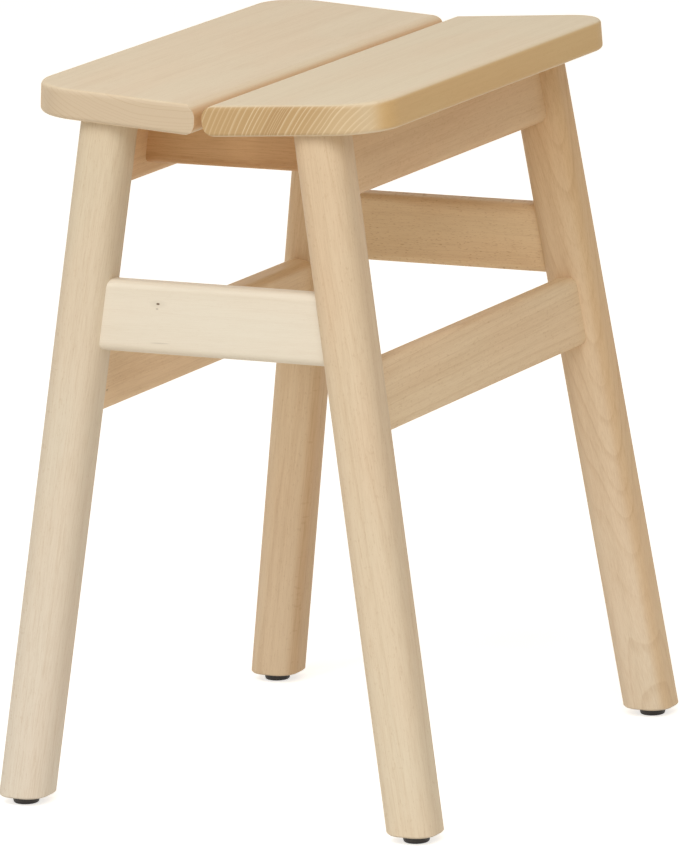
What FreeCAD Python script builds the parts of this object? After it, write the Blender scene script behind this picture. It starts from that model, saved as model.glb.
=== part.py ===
import FreeCAD, Part
import os

import Sketcher

# A stacking stool in beech. Millimetres, Z up, origin on the floor under the middle of the seat.
# X runs across the two seat boards and Y runs along them, with the front at -Y.
# Four rounded legs lean inward both ways. Two low stretchers and two aprons run along Y
# between the legs, two higher stretchers run along X, and two battens run along X between
# the aprons, under the boards. Each rail end is scribed to the round of its leg.

SIZES = {
    "seat_height": (450.0, "floor to the highest line of the seat boards"),
    "board_length": (342.0, "seat board along the grain"),
    "board_width": (117.4, "seat board across the grain"),
    "board_thick": (19.0, "seat board"),
    "board_gap": (4.0, "slot between the boards, at the top face"),
    "board_tilt": (3.6, "degrees that each board dips towards the slot"),
    "board_corner": (32.0, "plan radius of the outer corners"),
    "board_slot_edge": (8.0, "round on the two long edges of a board at the slot"),
    "board_edge": (3.0, "round on the other edges of a board"),
    "leg_side": (32.5, "leg across its flats"),
    "leg_corner": (12.5, "round on the four corners of a leg"),
    "leg_arris": (1.0, "chamfer round the foot of a leg"),
    "foot_spacing_across": (268.0, "leg axis to leg axis along X, on the floor"),
    "foot_spacing_along": (341.0, "leg axis to leg axis along Y, on the floor"),
    "splay_across": (8.25, "degrees that a leg leans along X"),
    "splay_along": (3.0, "degrees that a leg leans along Y"),
    "rail_height": (44.0, "stock of every rail, on edge"),
    "rail_thick": (16.0, "stock of every rail"),
    "rail_edge": (5.0, "round on the long edges of a rail"),
    "stretcher_level": (264.0, "middle of the stretchers that run along Y"),
    "stretcher_step": (0.0, "height from the top of those to the foot of the stretchers along X"),
    "batten_spacing": (206.0, "middle to middle of the two battens"),
    "batten_depth": (30.0, "batten under the boards, at the slot"),
    "dowel_diameter": (8.0, "beech dowel"),
    "dowel_length": (36.0, "dowel between a rail and a leg, half in each"),
    "dowel_pitch": (22.0, "between the two dowels of one joint"),
    "batten_dowel_length": (30.0, "dowel between a batten and an apron"),
    "batten_dowel_bite": (10.0, "part of that dowel in the apron"),
    "batten_dowel_pitch": (14.0, "between the two dowels of a batten end"),
    "dowel_fit": (0.1, "glue film round a dowel, on the radius"),
    "dowel_end_room": (1.0, "room past each end of a dowel"),
    "screw_diameter": (4.0, "shank of the seat screws"),
    "screw_length": (35.0, "seat screw, head included"),
    "screw_head": (8.0, "head diameter"),
    "screw_head_height": (2.4, "countersunk part of the head"),
    "screw_tip": (5.0, "pointed end of a screw"),
    "screw_point": (0.8, "blunt diameter at the very point"),
    "screw_slot": (1.2, "width of the cross recess in a head"),
    "screw_slot_depth": (1.2, "depth of the cross recess"),
    "screw_first": (18.0, "from the slot to the first screw"),
    "screw_from_dowel": (7.5, "from the second screw to the ends of the batten dowels"),
    "screw_sink": (8.0, "counterbore from the foot of a batten to the head"),
    "screw_sink_room": (0.5, "room round a head in its counterbore"),
    "screw_fit": (0.1, "room round a shank, on the radius"),
    "glide_stand": (5.5, "glide between the floor and the leg"),
    "glide_top": (18.0, "glide diameter at the leg"),
    "glide_foot": (15.5, "glide diameter at the floor"),
    "glide_edge": (1.2, "round on the foot of a glide"),
    "glide_recess": (7.5, "diameter of the recess for the nail head"),
    "glide_recess_depth": (3.0, "depth of that recess"),
    "nail_head": (6.0, "glide nail head diameter"),
    "nail_head_height": (1.0, "glide nail head"),
    "nail_diameter": (2.2, "glide nail shank"),
    "nail_length": (22.0, "glide nail shank"),
    "nail_fit": (0.1, "room round a nail, on the radius"),
    "nail_end_room": (0.5, "room past the point of a nail"),
}

doc = FreeCAD.newDocument("stacking_stool")
sheet = doc.addObject("Spreadsheet::Sheet", "Sizes")
for row, (alias, (value, note)) in enumerate(SIZES.items(), start=1):
    sheet.set(f"A{row}", note)
    sheet.set(f"B{row}", str(value))
    sheet.setAlias(f"B{row}", alias)
doc.recompute()

Vector = FreeCAD.Vector
UP = Vector(0, 0, 1)
ACROSS = Vector(1, 0, 0)
ALONG = Vector(0, 1, 0)
SIDES = {"left": -1, "right": 1}
ENDS = {"front": -1, "rear": 1}
ALONG_X = "rotation(vector(0; 1; 0); 90)"
ALONG_Y = "rotation(vector(1; 0; 0); -90)"
UPRIGHT = "rotation(vector(0; 0; 1); 0)"

# How a sketch numbers a line's two ends, and its own two axes, which count down from -1.
START = 1
END = START + 1
LEVEL_AXIS = -1
UPRIGHT_AXIS = LEVEL_AXIS - 1
SKETCH_ORIGIN = (LEVEL_AXIS, START)

# Two lengths or directions that differ by less than this are the same.
SAME = 1e-6
pieces = []


def size(alias):
    """The value of one cell, where a sketch needs a number to start from."""
    return SIZES[alias][0]


def cell(alias):
    """The same cell, as it is written in an expression."""
    return f"Sizes.{alias}"


# Heights and places that several pieces share, as expressions in the sheet's cells.
BOARD_TOP_AT_SLOT = ("(Sizes.seat_height - (Sizes.board_width - Sizes.board_edge) * sin(Sizes.board_tilt)"
                     " - Sizes.board_edge * (1 - cos(Sizes.board_tilt)))")
UNDERSIDE_MIDDLE = (f"({BOARD_TOP_AT_SLOT} - Sizes.board_gap / 2 * tan(Sizes.board_tilt)"
                    " - Sizes.board_thick / cos(Sizes.board_tilt))")
LEG_TOP = (f"(({UNDERSIDE_MIDDLE} + Sizes.foot_spacing_across / 2 * tan(Sizes.board_tilt))"
           " / (1 + tan(Sizes.board_tilt) * tan(Sizes.splay_across)))")
STRETCHER_ALONG = "Sizes.stretcher_level"
STRETCHER_ACROSS = "(Sizes.stretcher_level + Sizes.rail_height + Sizes.stretcher_step)"
APRON_LEVEL = f"({LEG_TOP} - Sizes.rail_height / 2 * cos(Sizes.splay_across))"
BATTEN_FOOT = f"({UNDERSIDE_MIDDLE} - Sizes.batten_depth)"


def leg_x(level):
    """Distance of a leg's axis from the middle along X, at a height."""
    return f"(Sizes.foot_spacing_across / 2 - ({level}) * tan(Sizes.splay_across))"


def leg_y(level):
    """Distance of a leg's axis from the middle along Y, at a height."""
    return f"(Sizes.foot_spacing_along / 2 - ({level}) * tan(Sizes.splay_along))"


def apron_face(level):
    """Distance of an apron's inner face from the middle along X, at a height."""
    return f"({leg_x(level)} - Sizes.rail_thick / 2 / cos(Sizes.splay_across))"


def place(thing, x, y, z, rotation=UPRIGHT):
    """Puts a thing at a place that is given by expressions."""
    thing.setExpression(
        "Placement", f"placement(vector(({x}) * 1 mm; ({y}) * 1 mm; ({z}) * 1 mm); {rotation})")


def bind(thing, **expressions):
    """Ties a thing's sizes to expressions."""
    for name, expression in expressions.items():
        thing.setExpression(name, expression)


def body(label):
    made = doc.addObject("PartDesign::Body", label)
    made.Label = label
    return made


def sketch(owner, plane, name):
    """An empty sketch on one of a body's own planes."""
    made = owner.newObject("Sketcher::SketchObject", f"{owner.Label}_{name}")
    face = next(item for item in owner.Origin.OriginFeatures if item.Role == plane)
    made.AttachmentSupport = [(face, "")]
    made.MapMode = "FlatFace"
    return made


def constrain(drawing, name, kind, *geometry, first_guess, expression):
    """A named dimension, bound to the sheet."""
    index = drawing.addConstraint(Sketcher.Constraint(kind, *geometry, first_guess))
    drawing.renameConstraint(index, name)
    drawing.setExpression(f"Constraints.{name}", expression)


def polygon(drawing, points):
    """A closed outline of straight lines, joined end to end."""
    count = len(points)
    for index in range(count):
        line = Part.LineSegment(Vector(*points[index], 0), Vector(*points[(index + 1) % count], 0))
        drawing.addGeometry(line, False)
    for index in range(count):
        drawing.addConstraint(Sketcher.Constraint("Coincident", index, END, (index + 1) % count, START))


def rectangle(drawing, width, height, width_guess, height_guess, centred=True):
    """A rectangle about the origin, or one that starts on the upright axis."""
    left = -width_guess / 2 if centred else 0
    right = left + width_guess
    half = height_guess / 2
    polygon(drawing, [(left, -half), (right, -half), (right, half), (left, half)])
    for index in (0, 2):
        drawing.addConstraint(Sketcher.Constraint("Horizontal", index))
    for index in (1, 3):
        drawing.addConstraint(Sketcher.Constraint("Vertical", index))
    if centred:
        drawing.addConstraint(Sketcher.Constraint("Symmetric", 0, START, 2, START, *SKETCH_ORIGIN))
    else:
        drawing.addConstraint(Sketcher.Constraint("Symmetric", 3, END, 3, START, *SKETCH_ORIGIN))
    constrain(drawing, "width", "DistanceX", 0, START, 0, END,
              first_guess=width_guess, expression=width)
    constrain(drawing, "height", "DistanceY", 1, START, 1, END,
              first_guess=height_guess, expression=height)


def pad(owner, drawing, length):
    """A sketch drawn out to both sides alike."""
    made = owner.newObject("PartDesign::Pad", f"{owner.Label}_pad")
    made.Profile = drawing
    made.Midplane = True
    bind(made, Length=length)
    drawing.Visibility = False
    doc.recompute()
    return made


def dress(owner, kind, base, names, **expressions):
    """A fillet or chamfer on the named edges or faces of a feature."""
    made = owner.newObject(f"PartDesign::{kind}", f"{owner.Label}_{kind.lower()}")
    made.Base = (base, names)
    bind(made, **expressions)
    doc.recompute()
    return made


def edges_along(shape, direction):
    """Names of the straight edges that run in a direction."""
    names = []
    for number, edge in enumerate(shape.Edges, start=1):
        run = edge.Vertexes[-1].Point - edge.Vertexes[0].Point
        if run.Length > 0 and run.cross(direction).Length < SAME * run.Length * direction.Length:
            names.append(f"Edge{number}")
    return names


def faces_facing(shape, direction):
    """Names of the flat faces whose outward normal is a direction."""
    names = []
    for number, face in enumerate(shape.Faces, start=1):
        flat = isinstance(face.Surface, Part.Plane)
        if flat and (face.normalAt(0, 0) - direction).Length < SAME:
            names.append(f"Face{number}")
    return names


def edges_at(shape, direction, x):
    """Names of the straight edges that run in a direction at a distance from the YZ plane."""
    return [name for name in edges_along(shape, direction)
            if abs(shape.getElement(name).Vertexes[0].X - x) < SAME]


def compound(label, members):
    made = doc.addObject("Part::Compound", label)
    made.Label = label
    made.Links = members
    return made


def cut(label, base, tool):
    made = doc.addObject("Part::Cut", label)
    made.Label = label
    made.Base = base
    made.Tool = tool
    doc.recompute()
    return made


def share(label, first, second):
    """What two shapes have in common."""
    made = doc.addObject("Part::Common", label)
    made.Label = label
    made.Base = first
    made.Tool = second
    doc.recompute()
    return made


def keep(piece):
    """Adds a finished piece to those that are written out."""
    pieces.append(piece)
    return piece


# Seat boards: flat boards, round in plan at the outer corners and soft on every edge. The edges
# at the slot are much softer, and run straight through to both ends.

def seat_place(thing, side):
    """Puts what is drawn about the middle of a board's slot side at its place in the seat."""
    turn = "rotation(vector(0; 1; 0); -Sizes.board_tilt)"
    if side == "left":
        turn = f"rotation(vector(0; 0; 1); 180) * {turn}"
    place(thing, f"{SIDES[side]} * (Sizes.board_gap / 2 + Sizes.board_thick / 2 * sin(Sizes.board_tilt))",
          "0", f"{BOARD_TOP_AT_SLOT} - Sizes.board_thick / 2 * cos(Sizes.board_tilt)", turn)


def seat_board(side):
    """What a slab with the board's plan shares with a bar that has its section at the slot."""
    slab = body(f"board_slab_{side}")
    outline = sketch(slab, "XY_Plane", "outline")
    rectangle(outline, cell("board_width"), cell("board_length"),
              size("board_width"), size("board_length"), centred=False)
    flat = pad(slab, outline, cell("board_thick"))
    outer = dress(slab, "Fillet", flat, edges_at(flat.Shape, UP, size("board_width")),
                  Radius=cell("board_corner"))
    dress(slab, "Fillet", outer, edges_along(outer.Shape, ACROSS), Radius=cell("board_edge"))
    bar = body(f"board_bar_{side}")
    section = sketch(bar, "XZ_Plane", "section")
    rectangle(section, "2 * Sizes.board_width", cell("board_thick"),
              2 * size("board_width"), size("board_thick"), centred=False)
    stick = pad(bar, section, "2 * Sizes.board_length")
    dress(bar, "Fillet", stick, edges_at(stick.Shape, ALONG, 0), Radius=cell("board_slot_edge"))
    for thing in (slab, bar):
        seat_place(thing, side)
    return share(f"board_blank_{side}", slab, bar)


def seat_space():
    """The shallow V above the underside of the boards, which trims what stands under them."""
    space = body("seat_space")
    profile = sketch(space, "XZ_Plane", "profile")
    reach, rise = size("foot_spacing_across"), size("board_thick")
    middle = size("seat_height") - size("rail_height")
    roof = size("seat_height") + size("rail_height")
    polygon(profile, [(0, middle), (reach, middle + rise), (reach, roof), (-reach, roof),
                      (-reach, middle + rise)])
    profile.addConstraint(Sketcher.Constraint("PointOnObject", 0, START, UPRIGHT_AXIS))
    for index in (1, 3):
        profile.addConstraint(Sketcher.Constraint("Vertical", index))
    profile.addConstraint(Sketcher.Constraint("Horizontal", 2))
    profile.addConstraint(Sketcher.Constraint("Symmetric", 1, START, 4, START, UPRIGHT_AXIS))
    constrain(profile, "middle", "DistanceY", *SKETCH_ORIGIN, 0, START,
              first_guess=middle, expression=UNDERSIDE_MIDDLE)
    constrain(profile, "reach", "DistanceX", 0, START, 0, END,
              first_guess=reach, expression=cell("foot_spacing_across"))
    constrain(profile, "rise", "DistanceY", 0, START, 0, END, first_guess=rise,
              expression="Sizes.foot_spacing_across * tan(Sizes.board_tilt)")
    constrain(profile, "roof", "DistanceY", *SKETCH_ORIGIN, 2, START,
              first_guess=roof, expression="Sizes.seat_height + Sizes.rail_height")
    pad(space, profile, "2 * Sizes.foot_spacing_along")
    return space


# Legs: a rounded square that leans in both ways, cut level at the foot and to the boards on top.

def leg_blank(end, side):
    leg = body(f"leg_blank_{end}_{side}")
    section = sketch(leg, "XY_Plane", "section")
    rectangle(section, cell("leg_side"), cell("leg_side"), size("leg_side"), size("leg_side"))
    post = leg.newObject("PartDesign::Pad", f"{leg.Label}_pad")
    post.Profile = section
    post.UseCustomVector = True
    post.AlongSketchNormal = True
    post.setExpression("Direction.x", f"{-SIDES[side]} * tan(Sizes.splay_across)")
    post.setExpression("Direction.y", f"{-ENDS[end]} * tan(Sizes.splay_along)")
    post.setExpression("Direction.z", "1")
    bind(post, Length=cell("seat_height"))
    doc.recompute()
    rounded = dress(leg, "Fillet", post, edges_along(post.Shape, post.Direction),
                    Radius=cell("leg_corner"))
    dress(leg, "Chamfer", rounded, faces_facing(rounded.Shape, -UP), Size=cell("leg_arris"))
    place(leg, f"{SIDES[side]} * {leg_x(cell('glide_stand'))}",
          f"{ENDS[end]} * {leg_y(cell('glide_stand'))}", cell("glide_stand"))
    return leg


# Rails: one stock with round edges, which lies in the plane of the two legs that it joins.

def rail_blank(label, plane, length, height=cell("rail_height"), height_guess=None):
    rail = body(label)
    section = sketch(rail, plane, "section")
    guess = height_guess or size("rail_height")
    rectangle(section, cell("rail_thick"), height, size("rail_thick"), guess)
    bar = pad(rail, section, length)
    direction = ACROSS if plane == "YZ_Plane" else ALONG
    dress(rail, "Fillet", bar, edges_along(bar.Shape, direction), Radius=cell("rail_edge"))
    return rail


def stretcher_across(end):
    rail = rail_blank(f"stretcher_blank_{end}", "YZ_Plane", f"2 * {leg_x(STRETCHER_ACROSS)}")
    place(rail, "0", f"{ENDS[end]} * {leg_y(STRETCHER_ACROSS)}", STRETCHER_ACROSS,
          f"rotation(vector(1; 0; 0); {ENDS[end]} * Sizes.splay_along)")
    return rail


def rail_along(label, side, level, **stock):
    rail = rail_blank(label, "XZ_Plane", f"2 * {leg_y(level)}", **stock)
    place(rail, f"{SIDES[side]} * {leg_x(level)}", "0", level,
          f"rotation(vector(0; 1; 0); {-SIDES[side]} * Sizes.splay_across)")
    return rail


def apron_blank(side):
    """Left tall enough for the boards' underside to trim its top edges square."""
    level = f"({APRON_LEVEL} + Sizes.rail_edge * cos(Sizes.splay_across))"
    return rail_along(f"apron_blank_{side}", side, level,
                      height="Sizes.rail_height + 2 * Sizes.rail_edge",
                      height_guess=size("rail_height") + 2 * size("rail_edge"))


def batten_blank(end):
    level = f"({BATTEN_FOOT} + Sizes.rail_height / 2)"
    batten = rail_blank(f"batten_blank_{end}", "YZ_Plane", f"2 * {leg_x(level)}")
    place(batten, "0", f"{ENDS[end]} * Sizes.batten_spacing / 2", level)
    return batten


# Dowels, and the slightly larger holes that they sit in.

def rod(label, length, x, y, z, rotation, fit="0", end_room="0"):
    """A round bar about its own middle, or its hole when a fit is given."""
    made = doc.addObject("Part::Cylinder", label)
    made.Label = label
    half = f"(({length}) / 2 + {end_room})"
    bind(made, Radius=f"Sizes.dowel_diameter / 2 + {fit}", Height=f"2 * {half}")
    start = {ALONG_X: (f"({x}) - {half}", y, z), ALONG_Y: (x, f"({y}) - {half}", z)}[rotation]
    place(made, *start, rotation)
    return made


def dowel_pair(label, length, spots, rotation):
    """The dowels of one rail, with their holes."""
    dowels, holes = [], []
    for number, (x, y, z) in enumerate(spots, start=1):
        dowels.append(rod(f"{label}_{number}", length, x, y, z, rotation))
        holes.append(rod(f"{label}_hole_{number}", length, x, y, z, rotation,
                         cell("dowel_fit"), cell("dowel_end_room")))
    keep(compound(label, dowels))
    return compound(f"{label}_holes", holes)


def dowels_across(end):
    spots = []
    for side in SIDES.values():
        for step in ("- Sizes.dowel_pitch / 2", "+ Sizes.dowel_pitch / 2"):
            level = f"({STRETCHER_ACROSS} {step})"
            spots.append((f"{side} * ({leg_x(level)} - Sizes.leg_side / 2)",
                          f"{ENDS[end]} * {leg_y(level)}", level))
    return dowel_pair(f"dowels_stretcher_{end}", cell("dowel_length"), spots, ALONG_X)


def dowels_along(label, side, middle):
    spots = []
    for end in ENDS.values():
        for step in ("- Sizes.dowel_pitch / 2", "+ Sizes.dowel_pitch / 2"):
            level = f"({middle} {step})"
            spots.append((f"{SIDES[side]} * {leg_x(level)}",
                          f"{end} * ({leg_y(level)} - Sizes.leg_side / 2)", level))
    return dowel_pair(label, cell("dowel_length"), spots, ALONG_Y)


def batten_dowel_tip(level):
    """Distance of a batten dowel's inner end from the middle along X, at a height."""
    return f"({apron_face(level)} + Sizes.batten_dowel_bite - Sizes.batten_dowel_length)"


def dowels_batten(end):
    spots = []
    for side in SIDES.values():
        for step in ("- Sizes.batten_dowel_pitch / 2", "+ Sizes.batten_dowel_pitch / 2"):
            level = f"({BATTEN_FOOT} + Sizes.batten_depth / 2 {step})"
            middle = f"({batten_dowel_tip(level)} + Sizes.batten_dowel_length / 2)"
            spots.append((f"{side} * {middle}", f"{ENDS[end]} * Sizes.batten_spacing / 2", level))
    return dowel_pair(f"dowels_batten_{end}", cell("batten_dowel_length"), spots, ALONG_X)


# Seat screws: up through each batten into the boards, with the heads in counterbores.

def primitive(kind, label, x, y, z, **expressions):
    made = doc.addObject(f"Part::{kind}", label)
    made.Label = label
    bind(made, **expressions)
    place(made, x, y, z)
    return made


def fuse(label, members):
    made = doc.addObject("Part::MultiFuse", label)
    made.Label = label
    made.Shapes = members
    return made


def screw(label, x, y, head_level):
    """One countersunk wood screw, point up, with a cross recess in its head."""
    shank_foot = f"({head_level} + Sizes.screw_head_height)"
    tip_foot = f"({head_level} + Sizes.screw_length - Sizes.screw_tip)"
    shank = "Sizes.screw_diameter / 2"
    solid = fuse(f"{label}_solid", [
        primitive("Cone", f"{label}_head", x, y, head_level, Radius1="Sizes.screw_head / 2",
                  Radius2=shank, Height=cell("screw_head_height")),
        primitive("Cylinder", f"{label}_shank", x, y, shank_foot, Radius=shank,
                  Height=f"{tip_foot} - {shank_foot}"),
        primitive("Cone", f"{label}_tip", x, y, tip_foot, Radius1=shank,
                  Radius2="Sizes.screw_point / 2", Height=cell("screw_tip")),
    ])
    long_way, short_way = "Sizes.screw_head / 2", cell("screw_slot")
    recess = fuse(f"{label}_recess", [
        primitive("Box", f"{label}_recess_{name}", f"{x} - {width} / 2", f"{y} - {depth} / 2",
                  head_level, Length=width, Width=depth, Height=cell("screw_slot_depth"))
        for name, width, depth in (("x", long_way, short_way), ("y", short_way, long_way))
    ])
    return cut(label, solid, recess)


def screw_hole(label, x, y, head_level):
    """Counterbore from below the batten to the head, then room for the head and the shank."""
    bore = "Sizes.screw_head / 2 + Sizes.screw_sink_room"
    sink_foot = f"({head_level} - 2 * Sizes.screw_sink)"
    return fuse(label, [
        primitive("Cylinder", f"{label}_sink", x, y, sink_foot, Radius=bore,
                  Height="2 * Sizes.screw_sink"),
        primitive("Cone", f"{label}_seat", x, y, head_level,
                  Radius1="Sizes.screw_head / 2 + Sizes.screw_fit",
                  Radius2="Sizes.screw_diameter / 2 + Sizes.screw_fit",
                  Height=cell("screw_head_height")),
        primitive("Cylinder", f"{label}_shank", x, y, head_level,
                  Radius="Sizes.screw_diameter / 2 + Sizes.screw_fit",
                  Height="Sizes.screw_length + Sizes.screw_sink_room"),
    ])


def seat_screws(end):
    head_level = f"({BATTEN_FOOT} + Sizes.screw_sink)"
    screws, holes = [], []
    upper_dowel = f"({BATTEN_FOOT} + Sizes.batten_depth / 2 + Sizes.batten_dowel_pitch / 2)"
    spots = {"inner": cell("screw_first"),
             "outer": f"({batten_dowel_tip(upper_dowel)} - Sizes.screw_from_dowel)"}
    y = f"{ENDS[end]} * Sizes.batten_spacing / 2"
    for side, sign in SIDES.items():
        for number, spot in spots.items():
            x = f"{sign} * {spot}"
            screws.append(screw(f"screw_{end}_{side}_{number}", x, y, head_level))
            holes.append(screw_hole(f"screw_hole_{end}_{side}_{number}", x, y, head_level))
    keep(compound(f"seat_screws_{end}", screws))
    return compound(f"seat_screw_holes_{end}", holes)


# Glides: a tapered plastic disc under each leg, held by a nail in its recess.

def glide(end, side):
    disc = body(f"glide_{end}_{side}")
    profile = sketch(disc, "XZ_Plane", "profile")
    bore = size("nail_diameter") / 2 + size("nail_fit")
    stand, recess = size("glide_stand"), size("glide_recess") / 2
    depth, top, foot = size("glide_recess_depth"), size("glide_top") / 2, size("glide_foot") / 2
    polygon(profile, [(bore, depth), (bore, stand), (top, stand), (foot, 0), (recess, 0),
                      (recess, depth)])
    for index in (0, 4):
        profile.addConstraint(Sketcher.Constraint("Vertical", index))
    for index in (1, 3, 5):
        profile.addConstraint(Sketcher.Constraint("Horizontal", index))
    profile.addConstraint(Sketcher.Constraint("PointOnObject", 3, START, LEVEL_AXIS))
    constrain(profile, "bore", "DistanceX", *SKETCH_ORIGIN, 0, START,
              first_guess=bore, expression="Sizes.nail_diameter / 2 + Sizes.nail_fit")
    constrain(profile, "top", "DistanceX", *SKETCH_ORIGIN, 2, START,
              first_guess=top, expression="Sizes.glide_top / 2")
    constrain(profile, "foot", "DistanceX", *SKETCH_ORIGIN, 3, START,
              first_guess=foot, expression="Sizes.glide_foot / 2")
    constrain(profile, "recess", "DistanceX", *SKETCH_ORIGIN, 4, START,
              first_guess=recess, expression="Sizes.glide_recess / 2")
    constrain(profile, "stand", "DistanceY", *SKETCH_ORIGIN, 2, START,
              first_guess=stand, expression=cell("glide_stand"))
    constrain(profile, "depth", "DistanceY", *SKETCH_ORIGIN, 0, START,
              first_guess=depth, expression=cell("glide_recess_depth"))
    turned = disc.newObject("PartDesign::Revolution", f"{disc.Label}_turned")
    turned.Profile = profile
    turned.ReferenceAxis = (profile, ["V_Axis"])
    turned.Angle = 360
    profile.Visibility = False
    doc.recompute()
    on_floor = {f"Edge{number}": edge.Length for number, edge in enumerate(turned.Shape.Edges, start=1)
                if all(abs(corner.Z) < SAME for corner in edge.Vertexes)}
    rim = max(on_floor, key=on_floor.get)
    dress(disc, "Fillet", turned, [rim], Radius=cell("glide_edge"))
    place(disc, f"{SIDES[side]} * {leg_x('0')}", f"{ENDS[end]} * {leg_y('0')}", "0")
    return disc


def glide_nail(end, side):
    x = f"{SIDES[side]} * {leg_x('0')}"
    y = f"{ENDS[end]} * {leg_y('0')}"
    head_level = "(Sizes.glide_recess_depth - Sizes.nail_head_height)"
    nail = fuse(f"nail_{end}_{side}", [
        primitive("Cylinder", f"nail_head_{end}_{side}", x, y, head_level,
                  Radius="Sizes.nail_head / 2", Height=cell("nail_head_height")),
        primitive("Cylinder", f"nail_shank_{end}_{side}", x, y, head_level,
                  Radius="Sizes.nail_diameter / 2",
                  Height="Sizes.nail_head_height + Sizes.nail_length"),
    ])
    hole = primitive("Cylinder", f"nail_hole_{end}_{side}", x, y, "0",
                     Radius="Sizes.nail_diameter / 2 + Sizes.nail_fit",
                     Height="Sizes.glide_recess_depth + Sizes.nail_length + Sizes.nail_end_room")
    return nail, hole


# The blanks first, then the holes, then each piece as its blank less what meets it.

boards = {side: seat_board(side) for side in SIDES}
underside = seat_space()
legs = {(end, side): leg_blank(end, side) for end in ENDS for side in SIDES}
leg_group = compound("leg_blanks", list(legs.values()))
doc.recompute()

holes_across = {end: dowels_across(end) for end in ENDS}
holes_along = {side: dowels_along(f"dowels_stretcher_{side}", side, STRETCHER_ALONG) for side in SIDES}
holes_apron = {side: dowels_along(f"dowels_apron_{side}", side, APRON_LEVEL) for side in SIDES}
holes_batten = {end: dowels_batten(end) for end in ENDS}
holes_screws = {end: seat_screws(end) for end in ENDS}
doc.recompute()

screw_holes = compound("seat_screw_holes", list(holes_screws.values()))
for side in SIDES:
    keep(cut(f"seat_board_{side}", boards[side], screw_holes))

nails = []
for (end, side), blank in legs.items():
    nail, nail_hole = glide_nail(end, side)
    nails.append(nail)
    keep(glide(end, side))
    trimmed = cut(f"leg_trimmed_{end}_{side}", blank, underside)
    holes = compound(f"leg_holes_{end}_{side}",
                     [holes_across[end], holes_along[side], holes_apron[side], nail_hole])
    keep(cut(f"leg_{end}_{side}", trimmed, holes))
keep(compound("glide_nails", nails))

for end in ENDS:
    scribed = cut(f"stretcher_scribed_{end}", stretcher_across(end), leg_group)
    keep(cut(f"stretcher_{end}", scribed, holes_across[end]))

aprons = {side: apron_blank(side) for side in SIDES}
batten_holes = compound("batten_dowel_holes", list(holes_batten.values()))
for side in SIDES:
    rail = rail_along(f"stretcher_blank_{side}", side, STRETCHER_ALONG)
    scribed = cut(f"stretcher_scribed_{side}", rail, leg_group)
    keep(cut(f"stretcher_{side}", scribed, holes_along[side]))
    trimmed = cut(f"apron_trimmed_{side}", aprons[side], underside)
    scribed = cut(f"apron_scribed_{side}", trimmed, leg_group)
    holes = compound(f"apron_holes_{side}", [holes_apron[side], batten_holes])
    keep(cut(f"apron_{side}", scribed, holes))

apron_group = compound("apron_blanks", list(aprons.values()))
for end in ENDS:
    trimmed = cut(f"batten_trimmed_{end}", batten_blank(end), underside)
    fitted = cut(f"batten_fitted_{end}", trimmed, apron_group)
    holes = compound(f"batten_holes_{end}", [holes_batten[end], holes_screws[end]])
    keep(cut(f"batten_{end}", fitted, holes))

doc.recompute()
for item in doc.Objects:
    if {"Invalid", "Error"} & set(item.State):
        raise RuntimeError(f"{item.Label} did not build: {item.State}")
os.makedirs("parts", exist_ok=True)
for piece in pieces:
    shape = piece.Shape
    if shape.isNull() or not shape.isValid():
        raise RuntimeError(f"{piece.Label} has no valid shape")
    shape.exportStep(os.path.join("parts", f"{piece.Label}.step"))
    print(f"{piece.Label}: {len(shape.Solids)} solids, {shape.Volume / 1000:.1f} cm3")
whole = Part.makeCompound([piece.Shape for piece in pieces]).BoundBox
print(f"{len(pieces)} pieces, {whole.XLength:.1f} x {whole.YLength:.1f} x {whole.ZLength:.1f} mm")
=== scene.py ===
# %% [markdown]
# A stacking stool in beech, dressed for its portrait. The joinery is already settled in the packed
# model: two seat boards, four rounded legs, aprons, stretchers and battens, each a piece of its own.
# What is left for this file is how the wood looks, and how it is lit. The first step loads that
# model as a fixed frame. Nothing in it is moved or reshaped here, so every place below is read from
# it or is a real size in metres in the same frame.

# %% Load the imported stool
import math
from dataclasses import dataclass

import bpy
from mathutils import Matrix, Vector

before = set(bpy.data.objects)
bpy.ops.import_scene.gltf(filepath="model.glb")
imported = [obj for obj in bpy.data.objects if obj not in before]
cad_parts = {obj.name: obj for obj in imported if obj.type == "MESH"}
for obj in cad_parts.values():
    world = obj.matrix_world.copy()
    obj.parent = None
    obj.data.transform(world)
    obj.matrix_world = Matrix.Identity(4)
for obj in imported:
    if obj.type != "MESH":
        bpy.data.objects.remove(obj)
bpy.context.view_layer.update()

MM = 0.001

# %% [markdown]
# The camera comes first, because a surface can only be compared with the photograph from the place
# where the photograph was taken. The picture was shot with a long lens from five and a half metres,
# a little above the seat and to the right, which is why the stool's upright lines hardly converge.
# A camera in Blender looks along its own -Z with +Y up. Its three axes are built here from a
# heading, a downward pitch and a slight roll, instead of turning the camera by eye.

# %% Camera
CAMERA_PLACE = Vector((2.4741, -4.8595, 1.3779))
CAMERA_HEADING = math.radians(-26.952)
CAMERA_PITCH = math.radians(12.0515)
CAMERA_ROLL = math.radians(1.5657)
CAMERA_LENS = 381.75
CLIP_END = 40
SEAT_MIDDLE = Vector((0, 0, 0.44))


def camera_axes(heading, pitch, roll):
    """Right, up and back of a camera that looks along the heading and down by the pitch."""
    forward = math.cos(pitch)
    ahead = Vector((math.sin(heading) * forward, math.cos(heading) * forward, -math.sin(pitch)))
    level = Vector((math.cos(heading), -math.sin(heading), 0))
    down = ahead.cross(level)
    right = math.cos(roll) * level + math.sin(roll) * down
    up = math.sin(roll) * level - math.cos(roll) * down
    return right, up, -ahead


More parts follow.
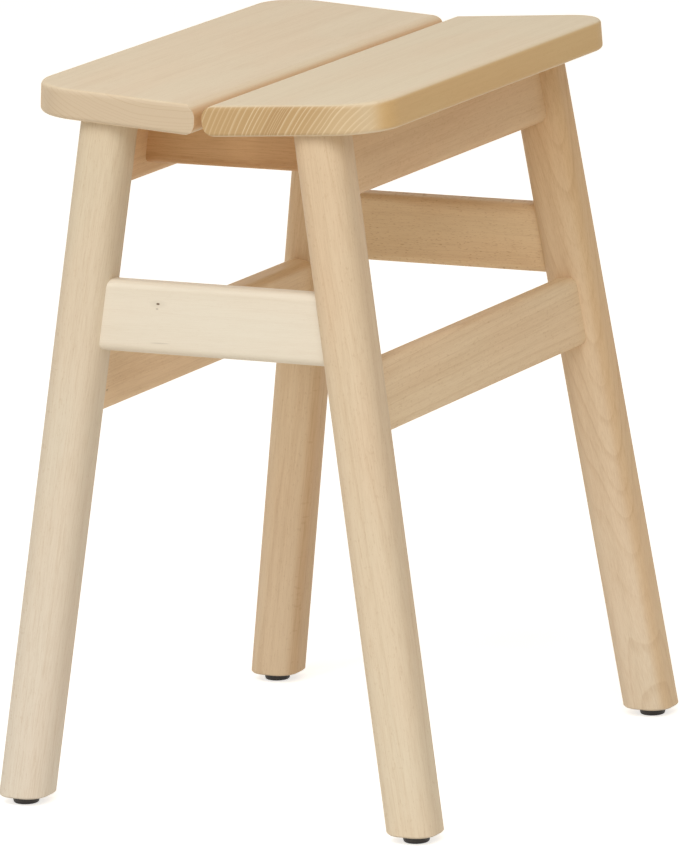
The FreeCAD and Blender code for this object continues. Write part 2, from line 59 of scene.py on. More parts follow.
camera_data = bpy.data.cameras.new("portrait_camera")
camera_data.lens = CAMERA_LENS
camera_data.clip_end = CLIP_END
camera = bpy.data.objects.new("portrait_camera", camera_data)
camera.matrix_world = Matrix.Translation(CAMERA_PLACE) @ Matrix(
    camera_axes(CAMERA_HEADING, CAMERA_PITCH, CAMERA_ROLL)).transposed().to_4x4()
bpy.context.scene.collection.objects.link(camera)
bpy.context.scene.camera = camera
print("camera to seat:", round((CAMERA_PLACE - SEAT_MIDDLE).length, 2), "m")

# %% [markdown]
# Shader work repeats: a node is added, its inputs are set or linked, and the next one reads it. A
# small class keeps that readable. It holds one node tree, and each call adds one node and gives back
# its output, so a chain of nodes reads like a sum. Inputs may be numbers or other nodes' outputs.

# %% A short hand for node trees
# The places of factor, first and second colour, and of the result, on a colour Mix node.
MIX_INPUTS = (0, 6, 7)
MIX_OUTPUT = 2


class Tree:
    """Adds nodes to one tree. A keyword names an input; underscores stand for spaces."""

    def __init__(self, nodes_and_links):
        self.tree = nodes_and_links

    def node(self, kind, settings=None, **inputs):
        made = self.tree.nodes.new(kind)
        for name, value in (settings or {}).items():
            setattr(made, name, value)
        for name, value in inputs.items():
            self.feed(made.inputs[name.replace("_", " ")], value)
        return made

    def feed(self, socket, value):
        if isinstance(value, bpy.types.NodeSocket):
            self.tree.links.new(value, socket)
        else:
            socket.default_value = value

    def sum(self, operation, *values, clamp=False):
        made = self.node("ShaderNodeMath", {"operation": operation, "use_clamp": clamp})
        for socket, value in zip(made.inputs, values):
            self.feed(socket, value)
        return made.outputs[0]

    def vector(self, operation, *values, out="Vector"):
        made = self.node("ShaderNodeVectorMath", {"operation": operation})
        for socket, value in zip(made.inputs, values):
            self.feed(socket, value)
        return made.outputs[out]

    def step(self, value, low, high, to_low=0.0, to_high=1.0, smooth=True):
        """Runs from one value to another while the input runs from low to high."""
        kind = "SMOOTHSTEP" if smooth else "LINEAR"
        made = self.node("ShaderNodeMapRange", {"interpolation_type": kind}, Value=value,
                         From_Min=low, From_Max=high, To_Min=to_low, To_Max=to_high)
        return made.outputs["Result"]

    def noise(self, vector, detail=2.0, roughness=0.5, out="Fac"):
        made = self.node("ShaderNodeTexNoise", Vector=vector, Scale=1.0, Detail=detail,
                         Roughness=roughness)
        return made.outputs[out]

    def noise_along(self, value, scale):
        made = self.node("ShaderNodeTexNoise", {"noise_dimensions": "1D"}, W=value, Scale=scale,
                         Detail=1.0)
        return made.outputs["Fac"]

    def mix(self, amount, first, second, blend="MIX"):
        made = self.node("ShaderNodeMix", {"data_type": "RGBA", "blend_type": blend})
        for place, value in zip(MIX_INPUTS, (amount, first, second)):
            self.feed(made.inputs[place], value)
        return made.outputs[MIX_OUTPUT]


def srgb(red, green, blue):
    """A colour as read off a screen, 0 to 255, turned into the linear one of a shader."""
    def linear(level):
        share = level / 255
        return share / 12.92 if share <= 0.04045 else ((share + 0.055) / 1.055) ** 2.4
    return (linear(red), linear(green), linear(blue), 1.0)


def new_group(name, inputs, outputs):
    """An empty group. Inputs are (name, socket type, default), outputs (name, socket type)."""
    group = bpy.data.node_groups.new(name, "ShaderNodeTree")
    for label, kind, default in inputs:
        socket = group.interface.new_socket(label, in_out="INPUT", socket_type=kind)
        socket.default_value = default
    for label, kind in outputs:
        group.interface.new_socket(label, in_out="OUTPUT", socket_type=kind)
    made = Tree(group)
    given = group.nodes.new("NodeGroupInput").outputs
    result = group.nodes.new("NodeGroupOutput").inputs
    return group, made, given, result


FLOAT, VECTOR = "NodeSocketFloat", "NodeSocketVector"

# %% [markdown]
# Real wood is a solid thing: the lines on a face, the arcs on the end and the streaks on an edge are
# all cuts through the same growth rings. A picture wrapped round a board never gets the corners
# right. So the figure is worked out in space. Each piece of timber is given a heart line, the middle
# of the tree that it was sawn from, and the way its grain runs. A point's distance from that line
# says which year's ring it lies in. The first group turns that distance into ring lines: every ring
# has its own strength, its width changes from year to year, and a run of poor years can squeeze
# several rings into the room of one.

# %% Node group: growth rings
PLACE_INPUTS = [
    ("Heart", VECTOR, (0, 0, 0)),
    ("Lie", VECTOR, (0, 0, 0)),
    ("Seed", FLOAT, 0.0),
]
# Millimetres over which the rings drift, across and along the grain.
DRIFT = (1 / 38, 1 / 38, 1 / 170)
UNEVEN_PER_MM = 0.11
UNEVEN_BY = 4.0
POOR_SPAN = 11.0
POOR_RINGS = 3.0
# In shares of a year: where the late wood stops rising, and where it starts to fall.
RING_FULL, RING_FALLS = 0.94, 0.95
FAINTEST_RING = 0.45


def grain_place(tree, given):
    """The shaded point in millimetres, across and along the grain, with the heart line as Z."""
    point = tree.node("ShaderNodeTexCoord").outputs["Object"]
    turned = tree.node("ShaderNodeMapping", {"vector_type": "TEXTURE"}, Vector=point,
                       Location=given["Heart"], Rotation=given["Lie"], Scale=(MM, MM, MM))
    return turned.outputs["Vector"]


def shifted(tree, place, scale, seed, step):
    """The place stretched by a scale, moved by the seed so that each piece has its own pattern."""
    stretched = tree.vector("MULTIPLY", place, scale)
    away = tree.node("ShaderNodeCombineXYZ", X=tree.sum("MULTIPLY", seed, step), Y=seed, Z=seed)
    return tree.vector("ADD", stretched, away.outputs[0])


def make_growth_rings():
    group, tree, given, result = new_group(
        "growth_rings",
        PLACE_INPUTS + [("Width", FLOAT, 3.0), ("Wander", FLOAT, 1.5), ("Late", FLOAT, 0.35),
                        ("Poor", FLOAT, 0.0)],
        [("Ring", FLOAT), ("Year", FLOAT), ("Radius", FLOAT), ("Poor", FLOAT)])
    place = grain_place(tree, given)
    drift = tree.noise(shifted(tree, place, DRIFT, given["Seed"], 1.7), out="Color")
    centred = tree.vector("SUBTRACT", drift, (0.5, 0.5, 0.5))
    scaled = tree.node("ShaderNodeVectorMath", {"operation": "SCALE"}, Scale=given["Wander"])
    tree.feed(scaled.inputs[0], centred)
    wandered = tree.vector("ADD", place, scaled.outputs[0])
    across = tree.vector("MULTIPLY", wandered, (1, 1, 0))
    radius = tree.vector("LENGTH", across, out="Value")
    change = tree.noise_along(tree.sum("ADD", radius, given["Seed"]), UNEVEN_PER_MM)
    uneven = tree.sum("MULTIPLY_ADD", change, UNEVEN_BY, radius)
    from_poor = tree.sum("DIVIDE", tree.sum("SUBTRACT", radius, given["Poor"]), POOR_SPAN)
    squeezed = tree.step(from_poor, -0.5, 0.5, 0.0, POOR_RINGS)
    years = tree.sum("ADD", tree.sum("DIVIDE", uneven, given["Width"]), squeezed)
    share = tree.sum("FRACT", years)
    year = tree.node("ShaderNodeTexWhiteNoise", {"noise_dimensions": "1D"},
                     W=tree.sum("ADD", tree.sum("FLOOR", years), given["Seed"])).outputs["Value"]
    start = tree.sum("SUBTRACT", 1.0, given["Late"])
    rise = tree.step(share, start, RING_FULL)
    fall = tree.step(share, RING_FALLS, 1.0, 1.0, 0.0)
    line = tree.sum("MULTIPLY", rise, fall)
    strength = tree.step(year, 0.0, 1.0, FAINTEST_RING, 1.0, smooth=False)
    tree.feed(result["Ring"], tree.sum("MULTIPLY", line, strength))
    tree.feed(result["Year"], year)
    tree.feed(result["Radius"], radius)
    tree.feed(result["Poor"], tree.step(tree.sum("ABSOLUTE", from_poor), 0.35, 0.6, 1.0, 0.0))
    return group


growth_rings = make_growth_rings()
print("group:", growth_rings.name, len(growth_rings.nodes), "nodes")

# %% [markdown]
# Beech is known by its rays: thin sheets of tissue that run outward from the heart like the spokes
# of a wheel. Where a face cuts across them they are short brown dashes along the grain, two or three
# millimetres long. Where it is sawn along a spoke they open into small silky patches, and on the end
# they are hair lines. One noise, stretched along the spokes and along the grain, gives all three. The
# same group makes the fibres, the very fine streaks that keep a sanded face from looking painted.

# %% Node group: rays and fibres
RAY_THICK, RAY_TALL, RAY_DEEP = 0.42, 2.5, 11.0
RAY_RADIUS = 60.0
RAY_STARTS, RAY_FULL = 0.60, 0.72
FIBRE_THICK, FIBRE_LONG = 0.6, 16.0


def make_rays_and_fibres():
    group, tree, given, result = new_group(
        "rays_and_fibres", PLACE_INPUTS, [("Ray", FLOAT), ("Fibre", FLOAT)])
    place = grain_place(tree, given)
    parts = tree.node("ShaderNodeSeparateXYZ", Vector=place).outputs
    angle = tree.sum("ARCTAN2", parts["Y"], parts["X"])
    radius = tree.vector("LENGTH", tree.vector("MULTIPLY", place, (1, 1, 0)), out="Value")
    spokes = tree.node("ShaderNodeCombineXYZ",
                       X=tree.sum("MULTIPLY", angle, RAY_RADIUS / RAY_THICK),
                       Y=tree.sum("DIVIDE", radius, RAY_DEEP),
                       Z=tree.sum("DIVIDE", parts["Z"], RAY_TALL)).outputs[0]
    sheets = tree.noise(shifted(tree, spokes, (1, 1, 1), given["Seed"], 2.3), detail=1.0)
    tree.feed(result["Ray"], tree.step(sheets, RAY_STARTS, RAY_FULL))
    thread_scale = (1 / FIBRE_THICK, 1 / FIBRE_THICK, 1 / FIBRE_LONG)
    threads = shifted(tree, place, thread_scale, given["Seed"], 3.1)
    tree.feed(result["Fibre"], tree.noise(threads, detail=3.0, roughness=0.6))
    return group


rays_and_fibres = make_rays_and_fibres()
print("group:", rays_and_fibres.name, len(rays_and_fibres.nodes), "nodes")

# %% [markdown]
# A tree's colour drifts too. Broad soft streaks run the length of a board, a finger wide, and the
# tone moves from straw to a faint pink. A leg is darker at its upper end than at its foot, partly the
# wood's own drift and partly painted shade, standing in for the shadow that the seat throws on the
# tops of the legs. The streaks and blush are slower patterns than the rings and don't follow them.
# The end of a board is another thing again: the cut pores drink the finish, so it is darker and its
# rings are sharper. The faces that point along X, the sides of the boards and legs, take a third
# tone: partly the sawn edge, which shows the rings from the side, and partly painted shade, the
# darker, warmer look of those sides. How squarely a surface faces along the grain, or along X,
# tells them apart, and because that changes gradually, the rounded edges blend from one to the
# other by themselves.

# %% Node group: tone
# One over the millimetres of a streak and of a cloud, across and along the grain.
STREAK_SCALE = (1 / 8, 1 / 8, 1 / 240)
CLOUD_SCALE = (1 / 35, 1 / 35, 1 / 120)
# Heights in metres over which a leg darkens towards its top: partly its own drift, partly painted
# shade under the seat.
FOOT, TOP = 0.05, 0.43
# How squarely a surface must face along the grain, or to the side, to count as end or flank.
END_FROM, END_TO = 0.45, 0.92
FLANK_FROM, FLANK_TO = 0.55, 0.95


def make_tone():
    group, tree, given, result = new_group(
        "timber_tone", PLACE_INPUTS,
        [("Streak", FLOAT), ("Blush", FLOAT), ("End", FLOAT), ("Flank_with_shade", FLOAT),
         ("Upper_with_shade", FLOAT)])
    place = grain_place(tree, given)
    point = tree.node("ShaderNodeTexCoord").outputs["Object"]
    level = tree.node("ShaderNodeSeparateXYZ", Vector=point).outputs["Z"]
    # Rises up each leg; the darkening it brings in is partly painted shade under the seat.
    tree.feed(result["Upper_with_shade"], tree.step(level, FOOT, TOP, smooth=False))
    streaks = shifted(tree, place, STREAK_SCALE, given["Seed"], 1.3)
    tree.feed(result["Streak"], tree.noise(streaks, detail=2.0, roughness=0.55))
    clouds = shifted(tree, place, CLOUD_SCALE, given["Seed"], 4.9)
    tree.feed(result["Blush"], tree.noise(clouds, detail=1.0))
    facing = tree.node("ShaderNodeTexCoord").outputs["Normal"]
    turn = tree.node("ShaderNodeVectorRotate", {"rotation_type": "EULER_XYZ", "invert": True},
                     Vector=facing, Rotation=given["Lie"]).outputs[0]
    along = tree.node("ShaderNodeSeparateXYZ", Vector=turn).outputs["Z"]
    tree.feed(result["End"], tree.step(tree.sum("ABSOLUTE", along), END_FROM, END_TO))
    # Picks the faces that point along X; the tone laid there is partly the sawn edge and partly
    # painted shade of those sides.
    sideways = tree.node("ShaderNodeSeparateXYZ", Vector=facing).outputs["X"]
    tree.feed(result["Flank_with_shade"], tree.step(tree.sum("ABSOLUTE", sideways), FLANK_FROM, FLANK_TO))
    return group


timber_tone = make_tone()
print("group:", timber_tone.name, len(timber_tone.nodes), "nodes")

# %% [markdown]
# Clean stock still has its marks. The front stretcher has a pin knot, the trace of a twig, with a
# faint second one below it and a short dash near its lower edge. Each mark is a small ellipsoid in
# space, long along the grain. A point is inside it when its distance from the mark's middle, counted
# in the mark's own half lengths, is under one, and the edge is soft.

# %% Node group: mark
def make_mark():
    group, tree, given, result = new_group(
        "grain_mark",
        [("Middle", VECTOR, (0, 0, 0)), ("Lie", VECTOR, (0, 0, 0)), ("Wide", FLOAT, 1.0),
         ("Long", FLOAT, 1.0)],
        [("Mask", FLOAT)])
    place = grain_place(tree, {"Heart": given["Middle"], "Lie": given["Lie"]})
    half = tree.node("ShaderNodeCombineXYZ", X=given["Wide"], Y=given["Wide"],
                     Z=given["Long"]).outputs[0]
    away = tree.vector("LENGTH", tree.vector("DIVIDE", place, half), out="Value")
    tree.feed(result["Mask"], tree.step(away, 0.45, 1.25, 1.0, 0.0))
    return group


grain_mark = make_mark()
print("group:", grain_mark.name, len(grain_mark.nodes), "nodes")

# %% [markdown]
# Here the patterns become one finish. The wood is planed, sanded and given a thin satin lacquer, so
# it is nearly matt, and the light on it is broad. Each piece has its own material, because each is
# another board: its own heart line, ring width, tone and seed. Grain never replaces the tone, it
# filters it, as thicker tissue passes less light and passes it browner. So all of the patterns are
# added up to one amount, and that amount decides how much of the filter is laid over the tone. The
# ends are done apart, since there the ring lines can be paler than the wood between them.

# %% The beech finish
SATIN = 0.52
NO_FILTER = (1.0, 1.0, 1.0, 1.0)
GRAIN_FILTER = (0.62, 0.47, 0.32, 1.0)
BLUSH_FILTER = (1.0, 0.945, 0.915, 1.0)
KNOT_COLOUR = srgb(92, 68, 42)
END_DARKER, LINE_DARKER = 0.92, 0.78
YEAR_TONE = 0.4
INNER_BLEND = 16
POOR_STRENGTH = 0.22
GRAIN_DULLER = 0.12
IOR_LACQUER = 1.45
FIBRE_RELIEF, RAY_RELIEF = 0.7, 0.5
RELIEF = 0.06 * MM


@dataclass
class Timber:
    """What one board is like. Colours are 0 to 255, lengths in millimetres, places in metres."""
    heart: tuple
    grain: Vector
    tone: tuple
    seed: float
    # Growth rings: width of a year, how far they stray, the share of late wood, their strength.
    width: float = 2.6
    wander: float = 4.0
    late: float = 0.35
    ring: float = 0.10
    poor: float = 0.0
    # How much the rays, streaks, fibres and clouds of pink show.
    ray: float = 0.16
    streak: float = 0.14
    fibre: float = 0.16
    blush: float = 0.5
    # Other tones: the sides along X (the edge's own tone with painted shade), the upper end of a leg
    # (its own drift with painted shade under the seat), and the end grain with its ring lines.
    flank_with_shade: tuple = None
    upper: tuple = None
    end: tuple = None
    end_line: tuple = None
    end_ring: float = 0.5
    end_inner: tuple = None
    inner_radius: float = 0.0
    marks: tuple = ()

    def __post_init__(self):
        self.flank_with_shade = self.flank_with_shade or self.tone
        self.end = self.end or tuple(level * END_DARKER for level in self.tone)
        self.end_line = self.end_line or tuple(level * LINE_DARKER for level in self.tone)
        self.end_inner = self.end_inner or self.end


def beech(name, board):
    """One board's material."""
    material = bpy.data.materials.new(name)
    material.use_nodes = True
    tree = Tree(material.node_tree)
    material.node_tree.nodes.clear()
    lie = tuple(board.grain.to_track_quat("Z", "Y").to_euler())
    own = {"Heart": board.heart, "Lie": lie, "Seed": board.seed}

    def place_group(group, given):
        made = tree.node("ShaderNodeGroup", {"node_tree": group})
        for label, value in given.items():
            made.inputs[label].default_value = value
        return made.outputs

    rings = place_group(growth_rings, {**own, "Width": board.width, "Wander": board.wander,
                                       "Late": board.late, "Poor": board.poor})
    marks = place_group(rays_and_fibres, own)
    tone = place_group(timber_tone, own)

    # The X sides take the flank tone, partly the edge's own and partly painted shade.
    face = tree.mix(tone["Flank_with_shade"], srgb(*board.tone), srgb(*board.flank_with_shade))
    # The darker upper end of a leg: partly its own drift, partly painted shade under the seat.
    if board.upper:
        face = tree.mix(tone["Upper_with_shade"], face, srgb(*board.upper))
    broad = tree.step(tone["Streak"], 0.35, 0.68, 0.0, board.streak)
    year_tone = tree.sum("MULTIPLY", rings["Year"], board.ring * YEAR_TONE)
    ring = tree.sum("MULTIPLY", rings["Ring"], board.ring)
    fibre = tree.step(marks["Fibre"], 0.28, 0.72, -board.fibre, board.fibre, smooth=False)
    ray = tree.sum("MULTIPLY", marks["Ray"], board.ray)
    amount = tree.sum("ADD", tree.sum("ADD", ring, broad), tree.sum("ADD", fibre, year_tone))
    amount = tree.sum("ADD", amount, ray)
    grain = tree.mix(tree.sum("MAXIMUM", amount, 0.0), NO_FILTER, GRAIN_FILTER)
    filtered = tree.mix(1.0, face, grain, blend="MULTIPLY")
    pink = tree.step(tone["Blush"], 0.35, 0.65, 0.0, board.blush)
    side_grain = tree.mix(pink, filtered, BLUSH_FILTER, blend="MULTIPLY")
    for middle, wide, long, depth in board.marks:
        spot = place_group(grain_mark, {"Middle": middle, "Lie": lie, "Wide": wide, "Long": long})
        side_grain = tree.mix(tree.sum("MULTIPLY", spot["Mask"], depth), side_grain, KNOT_COLOUR)

    inner = tree.step(rings["Radius"], board.inner_radius - INNER_BLEND,
                      board.inner_radius + INNER_BLEND, 1.0, 0.0)
    end_base = tree.mix(inner, srgb(*board.end), srgb(*board.end_inner))
    poor = tree.sum("MULTIPLY", rings["Poor"], POOR_STRENGTH)
    end_dark = tree.sum("ADD", poor, fibre, clamp=True)
    end_base = tree.mix(end_dark, end_base, GRAIN_FILTER, blend="MULTIPLY")
    end_line = tree.sum("MULTIPLY", rings["Ring"], board.end_ring)
    end_grain = tree.mix(end_line, end_base, srgb(*board.end_line))
    colour = tree.mix(tone["End"], side_grain, end_grain)

    raised = tree.sum("MULTIPLY", marks["Fibre"], FIBRE_RELIEF)
    height = tree.sum("SUBTRACT", raised, tree.sum("MULTIPLY", marks["Ray"], RAY_RELIEF))
    bump = tree.node("ShaderNodeBump", Strength=0.35, Distance=RELIEF, Height=height)
    gloss = tree.step(amount, 0.0, 1.0, SATIN, SATIN + GRAIN_DULLER, smooth=False)
    shader = tree.node("ShaderNodeBsdfPrincipled", Base_Color=colour, Roughness=gloss,
                       Normal=bump.outputs[0])
    shader.inputs["IOR"].default_value = IOR_LACQUER
    output = tree.node("ShaderNodeOutputMaterial")
    tree.feed(output.inputs["Surface"], shader.outputs[0])
    return material


# %% [markdown]
# Now each board. The heart lines are chosen from what the ends and faces show. The right seat board
# has pale rings that lean like a slash on its front end and lean more towards its outer edge, so its
# heart lies well to the right and below. On the left board they sweep down and flatten out towards
# the slot, so its heart is above the slot. The rear right leg has rings that meet in a V on its
# corner: there the heart line draws nearer to the corner on its way down. The other legs and rails
# are cut from anywhere, and their heart lines only have to differ.

# %% Boards, rails and legs
ALONG_X = Vector((1, 0, 0))
ALONG_Y = Vector((0, 1, 0))
SPLAY_ACROSS = math.radians(8.25)
SPLAY_ALONG = math.radians(3.0)


def leg_grain(side, end, aside=(0.0, 0.0)):
    """A leg leans towards the middle both ways on its way up, and its grain may stray from that."""
    across = -side * math.tan(SPLAY_ACROSS) + aside[0]
    along = -end * math.tan(SPLAY_ALONG) + aside[1]
    return Vector((across, along, 1)).normalized()


BOARDS = {
    # Flank tones on the X sides are partly the edge's own tone and partly painted shade.
    "seat_board_left": Timber(
        (-0.020, 0, 0.560), ALONG_Y, (230, 214, 187), 3.1, width=2.4, ring=0.05, streak=0.08,
        ray=0.08, fibre=0.07, flank_with_shade=(222, 188, 146), end=(207, 188, 162),
        end_line=(186, 160, 124), end_ring=0.45, late=0.3),
    "seat_board_right": Timber(
        (0.243, 0, 0.315), ALONG_Y, (227, 212, 184), 7.7, width=3.1, ring=0.04, wander=2.5,
        streak=0.07, ray=0.06, fibre=0.06, flank_with_shade=(212, 180, 128), end=(187, 155, 110),
        end_line=(232, 214, 180), end_ring=0.65, late=0.42, end_inner=(205, 180, 142),
        inner_radius=200, poor=226.0),
    # Each leg's upper tone is darker partly as painted shade under the seat.
    "leg_front_left": Timber(
        (-0.090, -0.225, 0), leg_grain(-1, -1, (0.01, 0.02)), (229, 220, 205), 11.3, fibre=0.20,
        streak=0.08, upper=(216, 201, 175)),
    "leg_front_right": Timber(
        (0.060, -0.110, 0), leg_grain(1, -1, (-0.02, 0.01)), (227, 213, 189), 17.9, fibre=0.16,
        streak=0.08, upper=(216, 193, 162)),
    "leg_rear_left": Timber(
        (-0.080, 0.240, 0), leg_grain(-1, 1, (0.02, 0.01)), (233, 213, 184), 23.3, streak=0.16,
        ring=0.14, flank_with_shade=(222, 194, 158), upper=(220, 189, 147)),
    "leg_rear_right": Timber(
        (0.0532, 0.1727, 0.4032), leg_grain(1, 1, (-0.069, 0.072)), (238, 222, 198), 29.1,
        width=2.4, ring=0.17, wander=2.0, streak=0.10, flank_with_shade=(230, 205, 170),
        upper=(217, 184, 140)),
    "apron_left": Timber(
        (-0.130, 0, 0.330), ALONG_Y, (232, 198, 156), 31.7, streak=0.16),
    "apron_right": Timber(
        (0.130, 0, 0.330), Vector((0.05, 1, 0.04)).normalized(), (226, 194, 154), 37.3, ring=0.14,
        width=3.6, streak=0.15, fibre=0.12),
    "batten_front": Timber(
        (0, -0.170, 0.360), ALONG_X, (216, 175, 128), 41.9, streak=0.35, fibre=0.26, ring=0.2,
        width=2.0),
    "batten_rear": Timber(
        (0, 0.170, 0.360), ALONG_X, (216, 175, 128), 43.3, streak=0.35, fibre=0.26),
    "stretcher_front": Timber(
        (0, -0.080, 0.290), Vector((1, 0.01, 0.02)).normalized(), (230, 222, 206), 47.7,
        ring=0.05, streak=0.06, ray=0.05, fibre=0.05, blush=0.35,
        marks=(
            ((-0.0358, -0.1619, 0.3177), 0.7, 1.3, 1.0),
            ((-0.0358, -0.1619, 0.3177), 2.6, 6.0, 0.07),
            ((-0.0365, -0.1620, 0.3146), 0.6, 1.0, 0.35),
            ((-0.0346, -0.1631, 0.2937), 0.5, 7.0, 0.18),
        )),
    "stretcher_rear": Timber(
        (0, 0.080, 0.330), ALONG_X, (237, 211, 172), 53.9, ray=0.45, streak=0.18),
    "stretcher_left": Timber(
        (-0.160, 0, 0.200), ALONG_Y, (238, 212, 175), 59.1,
        marks=(
            ((-0.0890, -0.1321, 0.2549), 0.7, 1.2, 0.5),
        )),
    "stretcher_right": Timber(
        (0.060, 0, 0.180), Vector((-0.02, 1, 0.03)).normalized(), (233, 210, 176), 61.3,
        ring=0.16, width=3.2, streak=0.13, fibre=0.12, ray=0.2),
}
DOWEL_HEARTS = {
    "front": (0, -0.12, 0.5),
    "rear": (0, 0.12, 0.5),
    "left": (-0.02, 0, 0.5),
    "right": (0.02, 0, 0.5),
}
for place, heart in DOWEL_HEARTS.items():
    grain = ALONG_X if place in ("front", "rear") else ALONG_Y
    dowel_like = Timber(heart, grain, (226, 206, 172), 67.0, ring=0.3)
    for kind in ("dowels_stretcher", "dowels_apron", "dowels_batten"):
        if f"{kind}_{place}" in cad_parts:
            BOARDS[f"{kind}_{place}"] = dowel_like


def wear(node, material):
    """A CAD node keeps its mesh and takes a finish in its material slots."""
    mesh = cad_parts[node].data
    mesh.materials.clear()
    mesh.materials.append(material)


for node, board in BOARDS.items():
    wear(node, beech(f"beech_{node}", board))
print("beech on", len(BOARDS), "nodes")

# %% [markdown]
# Under each leg is a tapered disc of hard plastic, nearly black, with the fine grain of a moulding
# tool. It is held by a nail whose head hides in a recess, and the boards are held by zinc plated
# wood screws from below. Plastic and zinc each get a small noise in their gloss, which is what makes
# a part look moulded or plated and not painted.

# %% Glides, nails and screws
PIMPLES_PER_METRE = 3500
SPANGLES_PER_METRE = 900


def moulded_plastic(name):
    material = bpy.data.materials.new(name)
    material.use_nodes = True
    material.node_tree.nodes.clear()
    tree = Tree(material.node_tree)
    point = tree.node("ShaderNodeTexCoord").outputs["Object"]
    pimples = tree.noise(tree.vector("MULTIPLY", point, (PIMPLES_PER_METRE,) * 3), detail=2.0)
    colour = tree.mix(pimples, srgb(30, 25, 22), srgb(46, 40, 36))
    gloss = tree.step(pimples, 0.3, 0.7, 0.42, 0.58)
    bump = tree.node("ShaderNodeBump", Strength=0.3, Distance=0.03 * MM, Height=pimples)
    shader = tree.node("ShaderNodeBsdfPrincipled", Base_Color=colour, Roughness=gloss,
                       Normal=bump.outputs[0])
    tree.feed(tree.node("ShaderNodeOutputMaterial").inputs["Surface"], shader.outputs[0])
    return material


def zinc(name):
    material = bpy.data.materials.new(name)
    material.use_nodes = True
    material.node_tree.nodes.clear()
    tree = Tree(material.node_tree)
    point = tree.node("ShaderNodeTexCoord").outputs["Object"]
    spangle = tree.noise(tree.vector("MULTIPLY", point, (SPANGLES_PER_METRE,) * 3), detail=3.0)
    colour = tree.mix(spangle, srgb(176, 178, 180), srgb(206, 206, 204))
    gloss = tree.step(spangle, 0.3, 0.7, 0.24, 0.40)
    shader = tree.node("ShaderNodeBsdfPrincipled", Base_Color=colour, Roughness=gloss, Metallic=1.0)
    tree.feed(tree.node("ShaderNodeOutputMaterial").inputs["Surface"], shader.outputs[0])
    return material


glide_plastic = moulded_plastic("glide_plastic")
screw_zinc = zinc("screw_zinc")
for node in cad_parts:
    if node.startswith("glide_") and node != "glide_nails":
        wear(node, glide_plastic)
for node in ("glide_nails", "seat_screws_front", "seat_screws_rear"):
    wear(node, screw_zinc)

# %% [markdown]
# The stool stands on a pale floor that goes white towards the camera. White is a matter of what the
# camera is told to see, not of more light: the floor and the sky give white to camera rays and to
# reflections, and a plain soft grey light to everything else. Where the stool throws its shadow the
# floor stays darker, because only the light that it receives is lifted.

# %% Floor and sky
FLOOR_SIZE = 12.0
FLOOR_GLOW = 0.66
FLOOR_PAINT = srgb(244, 243, 240)
WHITE = (1, 1, 1, 1)
SKY_LIGHT = 0.43
SKY_COLOUR = (1.0, 0.87, 0.70, 1)


def what_sees_white(tree):
    """One for camera rays, and for the rays that metal and glass send out. Zero for plain light."""
    path = tree.node("ShaderNodeLightPath").outputs
    seen = tree.sum("MAXIMUM", path["Is Camera Ray"], path["Is Glossy Ray"])
    return tree.sum("MAXIMUM", seen, path["Is Transmission Ray"])


def make_floor():
    mesh = bpy.data.meshes.new("floor")
    half = FLOOR_SIZE / 2
    corners = [(-half, -half, 0), (half, -half, 0), (half, half, 0), (-half, half, 0)]
    mesh.from_pydata(corners, [], [(0, 1, 2, 3)])
    floor = bpy.data.objects.new("floor", mesh)
    bpy.context.scene.collection.objects.link(floor)
    material = bpy.data.materials.new("floor_white")
    material.use_nodes = True
    material.node_tree.nodes.clear()
    tree = Tree(material.node_tree)
    paint = tree.node("ShaderNodeBsdfDiffuse", Color=FLOOR_PAINT)
    glow = tree.node("ShaderNodeEmission", Color=WHITE, Strength=FLOOR_GLOW)
    both = tree.node("ShaderNodeAddShader")
    tree.feed(both.inputs[0], paint.outputs[0])
    tree.feed(both.inputs[1], glow.outputs[0])
    chosen = tree.node("ShaderNodeMixShader", Fac=what_sees_white(tree))
    tree.feed(chosen.inputs[1], paint.outputs[0])
    tree.feed(chosen.inputs[2], both.outputs[0])
    tree.feed(tree.node("ShaderNodeOutputMaterial").inputs["Surface"], chosen.outputs[0])
    mesh.materials.append(material)
    return floor


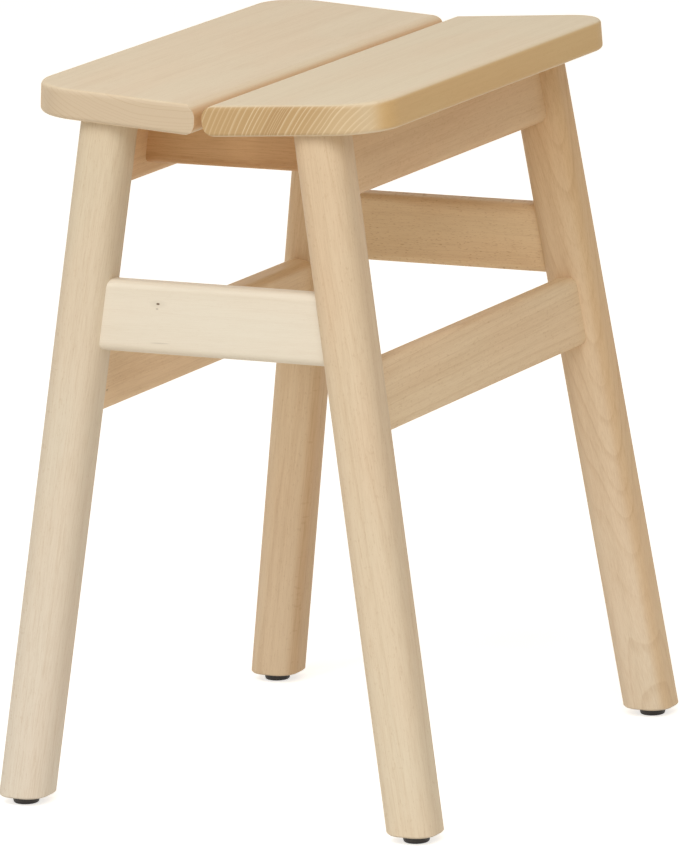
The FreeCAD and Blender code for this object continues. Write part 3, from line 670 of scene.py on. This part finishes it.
def make_sky():
    world = bpy.data.worlds.new("studio")
    bpy.context.scene.world = world
    world.use_nodes = True
    world.node_tree.nodes.clear()
    tree = Tree(world.node_tree)
    white = tree.node("ShaderNodeBackground", Color=WHITE, Strength=1.0)
    soft = tree.node("ShaderNodeBackground", Color=SKY_COLOUR, Strength=SKY_LIGHT)
    chosen = tree.node("ShaderNodeMixShader", Fac=what_sees_white(tree))
    tree.feed(chosen.inputs[1], soft.outputs[0])
    tree.feed(chosen.inputs[2], white.outputs[0])
    tree.feed(tree.node("ShaderNodeOutputWorld").inputs["Surface"], chosen.outputs[0])


make_floor()
make_sky()

# %% [markdown]
# The light is a photographer's: one broad soft box in front, raised and a little to the right, so
# that the faces towards it are the palest and those to the side fall off, and a smaller, weaker one
# on the left that keeps the left edges from going dull. Soft boxes are area lamps, and their size
# sets how soft a shadow is. The boxes are slightly cool and the sky is warm, so lit faces stay
# neutral and shaded ones turn honey. Each is placed by a heading from the front, a height angle and
# a distance, and aimed at the stool.

# %% Lamps
AIM = Vector((0, 0, 0.25))
LAMP_DISTANCE = 3.4
LAMP_COLOUR = (0.97, 0.99, 1.0)
LAMPS = {
    "key_box": {"heading": 22, "height": 42, "wide": 3.0, "tall": 1.8, "power": 58.0},
    "left_box": {"heading": -20, "height": 48, "wide": 1.2, "tall": 1.2, "power": 17.0},
}


def lamp_place(heading, height):
    """Heading 0 is straight in front of the stool and 90 is to its right."""
    turn, lift = math.radians(heading), math.radians(height)
    level = math.cos(lift)
    towards = Vector((level * math.sin(turn), -level * math.cos(turn), math.sin(lift)))
    return AIM + LAMP_DISTANCE * towards


for name, box in LAMPS.items():
    lamp_data = bpy.data.lights.new(name, "AREA")
    lamp_data.shape = "RECTANGLE"
    lamp_data.size = box["wide"]
    lamp_data.size_y = box["tall"]
    lamp_data.energy = box["power"]
    lamp_data.color = LAMP_COLOUR
    lamp = bpy.data.objects.new(name, lamp_data)
    lamp.location = lamp_place(box["heading"], box["height"])
    lamp.rotation_euler = (lamp.location - AIM).to_track_quat("Z", "Y").to_euler()
    bpy.context.scene.collection.objects.link(lamp)
bpy.context.scene.view_settings.view_transform = "Standard"
